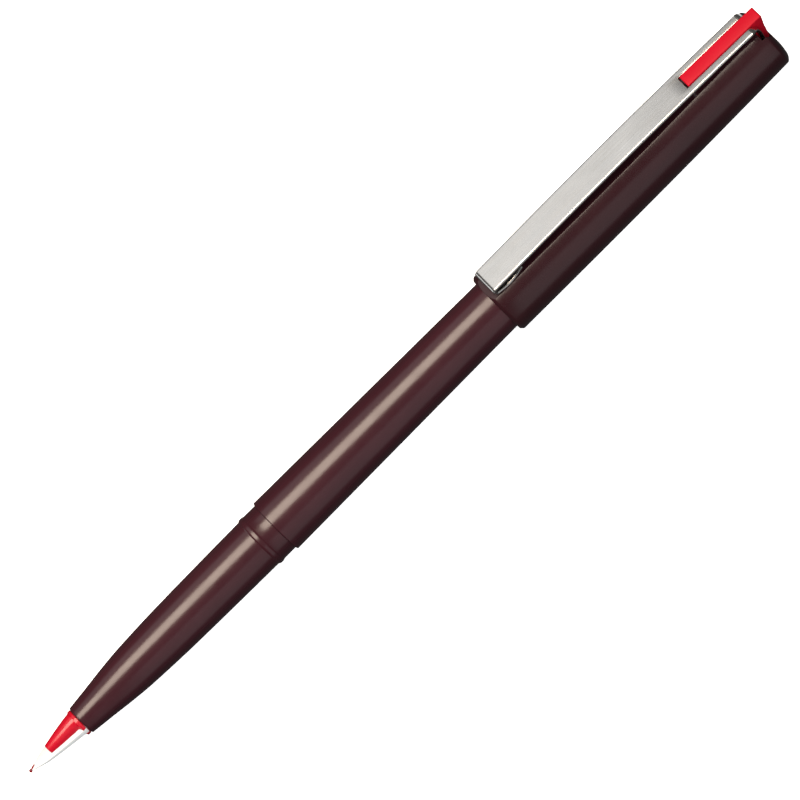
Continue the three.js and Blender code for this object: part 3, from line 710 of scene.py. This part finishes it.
def nib_cradle():
    shoe = boxed((7.2, -1.6, -1.3), (10.5, 1.6, UNDER_Z - CLAMP_GAP))
    front = [v for v in shoe.verts if v.co.x < 8]
    bmesh.ops.scale(shoe, vec=(1, 0.4, 0.7), verts=front, space=Matrix.Translation((0, 0, 0.49)))
    cradle = combined(clamp_collar(), boxed((0, -4, UNDER_Z - CLAMP_GAP), (30, 4, 5)))
    cradle = combined(cradle, shoe, "UNION")
    cradle = combined(cradle, shank_room())
    return rounded(cradle, clamp_arrises(cradle), CLAMP_ROUND, 2)


for make, name, node in (
    (nib_hood, "nib_hood_arch", "nib_hood"), (nib_cradle, "nib_cradle_shoe", "nib_cradle"),
):
    half = make()
    half.transform(Matrix.Rotation(NIB_TURN, 4, "X"))
    finished(half, name, "pen", node, NIB_RED)

# %% [markdown]
# ## The cap
#
# The cap is turned too, with a slight belly, but one side is planed flat for the clip along its
# whole length. `bisect_plane` cuts the shell there and the open edge is closed with one face.
# The end has a notch for the clip's legs and a blind pocket for the colour plug's tenon. All
# the corners that this leaves are rounded a little, because a moulded corner is never sharp and
# the light runs along it.

# %% Cap shell
CAP_BELLY_X = 124.0
CAP_MOUTH_RADIUS, CAP_MOUTH_CHAMFER = 5.61, 0.48
CAP_END_RADIUS, CAP_END_ROUND, CAP_END_FLAT = 5.36, 1.2, 2.9
CAP_DOME = [(161.4, 5.31), (161.68, 5.03), (161.92, 4.7), (162.08, 4.35), (162.2, 3.85)]
CAP_BORE_MOUTH, CAP_BORE_END, CAP_BORE_END_X = 4.68, 4.45, 158.9
NOTCH_FLOOR_X, NOTCH_HALF_WIDTH, NOTCH_BOTTOM_Z = 160.6, 3.0, 0.8
POCKET_FLOOR_X, POCKET_HALF_WIDTH, POCKET_LOW_Z, POCKET_HIGH_Z = 159.5, 1.22, 2.1, 4.1


def cap_radius(x):
    """The outside swells to the belly and falls away in a parabola on each side."""
    towards_mouth = x < CAP_BELLY_X
    rim_x = CAP_MOUTH_X if towards_mouth else CAP_END_X
    rim_radius = CAP_MOUTH_RADIUS if towards_mouth else CAP_END_RADIUS
    reach = (x - CAP_BELLY_X) / (rim_x - CAP_BELLY_X)
    return CAP_BELLY_RADIUS - (CAP_BELLY_RADIUS - rim_radius) * reach ** 2


def cap_profile():
    chamfer_x = CAP_MOUTH_X + CAP_MOUTH_CHAMFER
    stations = [chamfer_x + 0.1 + i * 5.6 for i in range(11)]
    round_x = CAP_END_X - CAP_END_ROUND
    return [
        (CAP_MOUTH_X, CAP_BORE_MOUTH + 0.12),
        (CAP_MOUTH_X, CAP_MOUTH_RADIUS - CAP_MOUTH_CHAMFER - 0.06),
        *corner(
            (CAP_MOUTH_X, CAP_MOUTH_RADIUS - CAP_MOUTH_CHAMFER - 0.06),
            (CAP_MOUTH_X, CAP_MOUTH_RADIUS - CAP_MOUTH_CHAMFER),
            (CAP_MOUTH_X + 0.06, CAP_MOUTH_RADIUS - CAP_MOUTH_CHAMFER + 0.06), 3,
        )[1:],
        (chamfer_x - 0.08, CAP_MOUTH_RADIUS - 0.08),
        *[(x, cap_radius(x)) for x in stations if x < round_x - 1],
        *swell([(round_x, cap_radius(round_x)), *CAP_DOME, (CAP_END_X, CAP_END_FLAT)], 3),
        (CAP_END_X, 2.0),
        (CAP_END_X, 0),
        (CAP_BORE_END_X, 0),
        (CAP_BORE_END_X, CAP_BORE_END - 0.3),
        (CAP_BORE_END_X - 0.3, CAP_BORE_END),
        (CAP_MOUTH_X + 0.3, CAP_BORE_MOUTH),
    ]


def cap_shell():
    profile = cap_profile()
    start = profile.index((CAP_BORE_END_X, 0))
    bm = spun([*profile[start:], *profile[:start]], closed=False, steps=192)
    geom = [*bm.verts, *bm.edges, *bm.faces]
    bmesh.ops.bisect_plane(
        bm, geom=geom, dist=1e-6, plane_co=(0, 0, CAP_FLAT_HEIGHT), plane_no=(0, 0, 1),
        clear_outer=True,
    )
    rim = [e for e in bm.edges if e.is_boundary]
    bmesh.ops.holes_fill(bm, edges=rim, sides=0)
    notch = boxed(
        (NOTCH_FLOOR_X, -NOTCH_HALF_WIDTH, NOTCH_BOTTOM_Z), (CAP_END_X + 1, NOTCH_HALF_WIDTH, 8),
    )
    pocket = boxed(
        (POCKET_FLOOR_X, -POCKET_HALF_WIDTH, POCKET_LOW_Z),
        (NOTCH_FLOOR_X + 0.2, POCKET_HALF_WIDTH, POCKET_HIGH_Z),
    )
    bm = combined(combined(bm, notch), pocket)
    at_flat = sharp_edges(
        bm, 12, lambda middle: middle.z > CAP_FLAT_HEIGHT - 1e-3 and middle.x < NOTCH_FLOOR_X - 1e-3,
    )
    rounded(bm, at_flat, 0.14, 3)
    at_notch = sharp_edges(
        bm, 60, lambda middle: middle.x > NOTCH_FLOOR_X - 1e-3 and abs(middle.y) > 1.5,
    )
    return rounded(bm, at_notch, 0.1, 3)


cap = finished(cap_shell(), "cap_body", "cap", "cap_shell", CAP_BROWN_SHADED, crease=50)

# %% [markdown]
# ## The clip
#
# One strip of sheet steel makes the whole clip: a tongue folded under the free end that grips
# the cloth, the long face, a bend over the cap's end and two legs in the notch. The centre line
# is drawn from the side and pulled across into a ribbon of a few columns. Faces are removed
# where the fork's slot and the shoulders are, and `solidify` then gives the ribbon its thickness.
# The outer corners of a stamped sheet are rolled over, so their bevel is wide, and the shoulders
# above the legs are round.

# %% Clip
CLIP_THICKNESS, CLIP_HALF_WIDTH = 0.5, 2.48
ROLLED_EDGE, CUT_EDGE = 0.3, 0.1
FOLD_X, FOLD_RADIUS = 104.45, 0.6
BEND_X, BEND_RADIUS = 160.1, 1.05
FACE = [(FOLD_X, 7.1), (118, 7.34), (132, 7.4), (143, 7.22), (154, 6.9), (BEND_X, 6.7)]
LEG_HALF_WIDTH, SHOULDER_REACH, FOOT_Z = 1.95, 0.95, 1.45
SLOT_START_X, SLOT_HALF_WIDTH = 147.2, 1.25
TONGUE = [(109.75, 6.5), (108.85, 6.12), (108.05, 5.82), (106.55, 5.54), (105.3, 5.72)]
LEGS = [(161.25, 4.9), (161.15, 3.9), (160.97, FOOT_Z)]


def arc(centre_x, centre_z, radius, start, end, steps):
    turn = [math.radians(start + (end - start) * i / steps) for i in range(steps + 1)]
    return [(centre_x + radius * math.cos(a), centre_z + radius * math.sin(a)) for a in turn]


def clip_line():
    fold = arc(FOLD_X, FACE[0][1] - FOLD_RADIUS, FOLD_RADIUS, 270, 90, 16)
    bend = arc(BEND_X, FACE[-1][1] - BEND_RADIUS, BEND_RADIUS, 90, 0, 16)
    tongue = swell([*TONGUE, fold[0]], 5)[:-1]
    arch = swell(FACE, 6)
    slot_start = (SLOT_START_X, height_at(arch, SLOT_START_X))
    face = sorted([*(p for p in arch[1:-1] if abs(p[0] - SLOT_START_X) > 0.4), slot_start])
    legs = swell([bend[-1], *LEGS], 5)[1:]
    return [*tongue, *fold, *face, *bend, *legs]


def clip_strip():
    bm = bmesh.new()
    first = [bm.verts.new((x, -CLIP_HALF_WIDTH, z)) for x, z in clip_line()]
    edges = [bm.edges.new(pair) for pair in zip(first, first[1:])]
    columns = [-LEG_HALF_WIDTH, -SLOT_HALF_WIDTH, SLOT_HALF_WIDTH, LEG_HALF_WIDTH, CLIP_HALF_WIDTH]
    previous = -CLIP_HALF_WIDTH
    for y in columns:
        made = bmesh.ops.extrude_edge_only(bm, edges=edges)["geom"]
        verts = [g for g in made if isinstance(g, bmesh.types.BMVert)]
        edges = [g for g in made if isinstance(g, bmesh.types.BMEdge)
                 and all(v in verts for v in g.verts)]
        bmesh.ops.translate(bm, verts=verts, vec=(0, y - previous, 0))
        previous = y
    return bm


def clip():
    bm = clip_strip()
    unwanted = []
    for f in bm.faces:
        middle = f.calc_center_median()
        in_slot = middle.x > SLOT_START_X and abs(middle.y) < SLOT_HALF_WIDTH
        past_shoulder = middle.x > BEND_X + SHOULDER_REACH and abs(middle.y) > LEG_HALF_WIDTH
        if in_slot or past_shoulder:
            unwanted.append(f)
    bmesh.ops.delete(bm, geom=unwanted, context="FACES")
    for v in bm.verts:
        if v.co.x > BEND_X and abs(v.co.y) > LEG_HALF_WIDTH + 1e-3:
            reach = min((v.co.x - BEND_X) / SHOULDER_REACH, 0.97)
            left = (CLIP_HALF_WIDTH - LEG_HALF_WIDTH) * math.sqrt(1 - reach ** 2)
            v.co.y = math.copysign(LEG_HALF_WIDTH + left, v.co.y)
    bmesh.ops.recalc_face_normals(bm, faces=bm.faces)
    outward = max(bm.faces, key=lambda f: f.calc_area()).normal.z
    if outward < 0:
        bmesh.ops.reverse_faces(bm, faces=bm.faces)
    bm.normal_update()
    for v, normal in [(v, v.normal.copy()) for v in bm.verts]:
        v.co += normal * CLIP_THICKNESS / 2
    bmesh.ops.solidify(bm, geom=bm.faces[:], thickness=CLIP_THICKNESS)
    return bm


def on_long_rim(middle):
    """The upper corners of the face and of the tongue, which the press rolls over most."""
    line = FACE if middle.z > FACE[-1][1] else TONGUE[::-1]
    return abs(middle.y) > CLIP_HALF_WIDTH - 1e-3 and middle.z > height_at(line, middle.x)


strip = clip()
heights = [v.co.z for v in strip.verts if 120 < v.co.x < 140]
print(f"sheet from {min(heights):.2f} to {max(heights):.2f} mm above the axis")
rounded(strip, sharp_edges(strip, 60, on_long_rim), ROLLED_EDGE, 4)
rounded(strip, sharp_edges(strip, 60, lambda middle: not on_long_rim(middle)), CUT_EDGE, 3)
finished(strip, "pocket_clip", "clip", "clip", CLIP_STEEL)

# %% [markdown]
# ## The colour plug
#
# The plug shows the ink's colour. It is an L: a bar that lies in the clip's slot, and a web that
# goes down the cap's end, with a tenon that is pushed into the pocket. The outline is drawn from
# the side as one face, extruded across the pen and rounded.

# %% Colour plug
PLUG_HALF_WIDTH = 1.17
PLUG_FRONT_TOP_Z, PLUG_END_TOP_Z, PLUG_UNDER_Z = 7.6, 7.08, 6.3
WEB_X, PLUG_FOOT_X = NOTCH_FLOOR_X + 0.15, 162.1


def plug_outline():
    tenon_x = POCKET_FLOOR_X + 0.1
    return [
        (PLUG_FRONT_X, PLUG_UNDER_Z),
        *corner((WEB_X - 1, PLUG_UNDER_Z), (WEB_X, PLUG_UNDER_Z), (WEB_X, PLUG_UNDER_Z - 1), 8),
        (WEB_X, POCKET_HIGH_Z - 0.05), (tenon_x, POCKET_HIGH_Z - 0.05),
        (tenon_x, POCKET_LOW_Z + 0.05), (WEB_X, POCKET_LOW_Z + 0.05),
        (WEB_X, NOTCH_BOTTOM_Z + 0.15), (PLUG_FOOT_X, NOTCH_BOTTOM_Z + 0.15),
        (162.6, 4.5),
        *corner((PLUG_END_X, PLUG_END_TOP_Z - 0.35), (PLUG_END_X, PLUG_END_TOP_Z),
                (PLUG_END_X - 0.35, PLUG_END_TOP_Z), 6),
        *corner((PLUG_END_X - 0.35, PLUG_END_TOP_Z), (154, 7.35),
                (PLUG_FRONT_X + 0.25, PLUG_FRONT_TOP_Z), 10)[1:-1],
        *corner((PLUG_FRONT_X + 0.25, PLUG_FRONT_TOP_Z), (PLUG_FRONT_X, PLUG_FRONT_TOP_Z),
                (PLUG_FRONT_X, PLUG_FRONT_TOP_Z - 0.25), 5),
    ]


def plug():
    bm = bmesh.new()
    side = bm.faces.new([bm.verts.new((x, -PLUG_HALF_WIDTH, z)) for x, z in plug_outline()])
    made = bmesh.ops.extrude_face_region(bm, geom=[side], use_keep_orig=True)["geom"]
    verts = [g for g in made if isinstance(g, bmesh.types.BMVert)]
    bmesh.ops.translate(bm, verts=verts, vec=(0, 2 * PLUG_HALF_WIDTH, 0))
    bmesh.ops.recalc_face_normals(bm, faces=bm.faces)
    arrises = sharp_edges(bm, 60, lambda middle: abs(abs(middle.y) - PLUG_HALF_WIDTH) < 1e-3)
    return rounded(bm, arrises, 0.15, 3)


colour_plug = finished(
    plug(), "colour_plug_bar", "cap", "colour_plug", COLOUR_RED,
)

# %% [markdown]
# ## Inside the pen
#
# The remaining CAD nodes are never seen from outside, so their shapes stay as the CAD made them.
# They still get a proper finish each, for anyone who opens the model.

# %% Finishes for the inner nodes
INNER_FINISHES = {
    "nib_holder": INNER_DARK, "inner_cap": INNER_DARK, "wick_sleeve": NIB_WHITE,
    "feed_wick": FIBRE_RED, "reservoir_fibre": FIBRE_RED, "reservoir_film": FILM_CLEAR,
}
for node, material in INNER_FINISHES.items():
    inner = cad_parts[node]
    inner.data.materials.clear()
    inner.data.materials.append(material)
print("inner nodes finished:", len(INNER_FINISHES))

# %% [markdown]
# ## Table, light and camera
#
# The table is a wide, pale, matt surface that glows a little, so that the pen's shadow stays
# faint. Its visibility to reflected and bounced rays is switched off. That isn't how a real
# table behaves: it is a studio choice that keeps the pen's underside deep.

# %% Table
TABLE_GLOW = 0.9


def table():
    bm = bmesh.new()
    bmesh.ops.create_grid(bm, x_segments=1, y_segments=1, size=3.0)
    mesh = bpy.data.meshes.new("table")
    bm.to_mesh(mesh)
    bm.free()
    made = bpy.data.objects.new("table", mesh)
    bpy.context.scene.collection.objects.link(made)
    material, tree, shader, place = new_material("table_white")
    speck = noise(tree, place, 40, 2.0)
    tree.links.new(
        mixed(tree, speck, (0.86, 0.86, 0.86), (0.88, 0.88, 0.88)), shader.inputs["Base Color"],
    )
    shader.inputs["Roughness"].default_value = 0.8
    shader.inputs["Emission Color"].default_value = (1, 1, 1, 1)
    shader.inputs["Emission Strength"].default_value = TABLE_GLOW
    mesh.materials.append(material)
    made.location.z = CAD_BOX[0].z - 0.0001
    made.visible_glossy = False
    made.visible_diffuse = False
    return made


table()

# %% [markdown]
# One long softbox hangs above the pen. Its width sets the width of the bright stripe that runs
# along every turned piece, and its length is kept short so that it doesn't flood the colours. A
# dimmer panel on the far side fills the clip's flat face. A card on the near side gives the
# turned pieces their second, faint band, a fill lights the colours without being reflected, and
# two small cards light the clip's fold and bend.

# %% Lights
PEN_CENTRE = Vector((0, 0, AXIS_Z))


def softbox(name, elevation, distance, size, radiance, turn=0, slide=0.0):
    """A panel that faces the pen.

    The elevation is in degrees up from the near side's horizon, and the turn swings the panel
    about the vertical, towards the cap's end when it is positive.
    """
    a = math.radians(elevation)
    swing = Matrix.Rotation(math.radians(turn), 3, "Z")
    towards = swing @ Vector((0, -math.cos(a), math.sin(a)))
    along = swing @ Vector((1, 0, 0))
    data = bpy.data.lights.new(name, "AREA")
    data.shape = "RECTANGLE"
    data.size, data.size_y = size
    data.energy = radiance * math.pi * size[0] * size[1]
    made = bpy.data.objects.new(name, data)
    bpy.context.scene.collection.objects.link(made)
    made.location = PEN_CENTRE + towards * distance + Vector((slide, 0, 0))
    made.rotation_mode = "QUATERNION"
    made.rotation_quaternion = Matrix(
        (along, towards.cross(along), towards)
    ).transposed().to_quaternion()
    return made


key = softbox("key_softbox", 89.5, 1.0, (0.76, 0.56), 10.2, slide=-0.19)
key.data.color = (1.0, 0.853, 0.706)
softbox("far_panel", 125, 1.2, (0.75, 0.5), 0.85, slide=-0.2)
softbox("near_card", 5, 1.4, (0.9, 1.5), 0.52)
fill = softbox("near_fill", 45, 1.5, (1.5, 1.0), 2.5)
fill.visible_glossy = False
for name, turn in (("end_card_nib", -123), ("end_card_cap", 123)):
    card = softbox(name, 3, 1.2, (0.4, 0.4), 1.1, turn)
    card.visible_diffuse = False

world = bpy.data.worlds.new("studio")
world.use_nodes = True
world.node_tree.nodes["Background"].inputs["Color"].default_value = (1.0, 1.0, 1.0, 1)
world.node_tree.nodes["Background"].inputs["Strength"].default_value = 0.07
bpy.context.scene.world = world
bpy.context.scene.view_settings.view_transform = "Standard"
print("lights:", len(bpy.data.lights))

# %% [markdown]
# The camera looks down on the near side from well above, through a long lens, and is rolled so
# that the pen runs from the lower left corner of the picture to the upper right one.

# %% Camera
CAMERA_DIRECTION = Vector((0, -math.cos(math.radians(58)), math.sin(math.radians(58))))
CAMERA_DISTANCE = 1.31
CAMERA_ALONG = 0.0395       # how far along the pen the camera stands from the middle
AIM_OFFSET = Vector((0.0001, 0.000155, 0.000096))


def camera():
    data = bpy.data.cameras.new("camera")
    data.lens = 380
    made = bpy.data.objects.new("camera", data)
    bpy.context.scene.collection.objects.link(made)
    target = PEN_CENTRE + AIM_OFFSET
    made.location = target + Vector((CAMERA_ALONG, 0, 0)) + CAMERA_DIRECTION * CAMERA_DISTANCE
    back = (made.location - target).normalized()
    pen_line = (Vector((1, 0, 0)) - back * back.x).normalized()
    below_pen = pen_line.cross(back)
    right = (pen_line + below_pen).normalized()
    up = (pen_line - below_pen).normalized()
    made.rotation_mode = "QUATERNION"
    made.rotation_quaternion = Matrix((right, up, back)).transposed().to_quaternion()
    data.clip_start, data.clip_end = 0.05, 20
    bpy.context.scene.camera = made
    return made


camera()
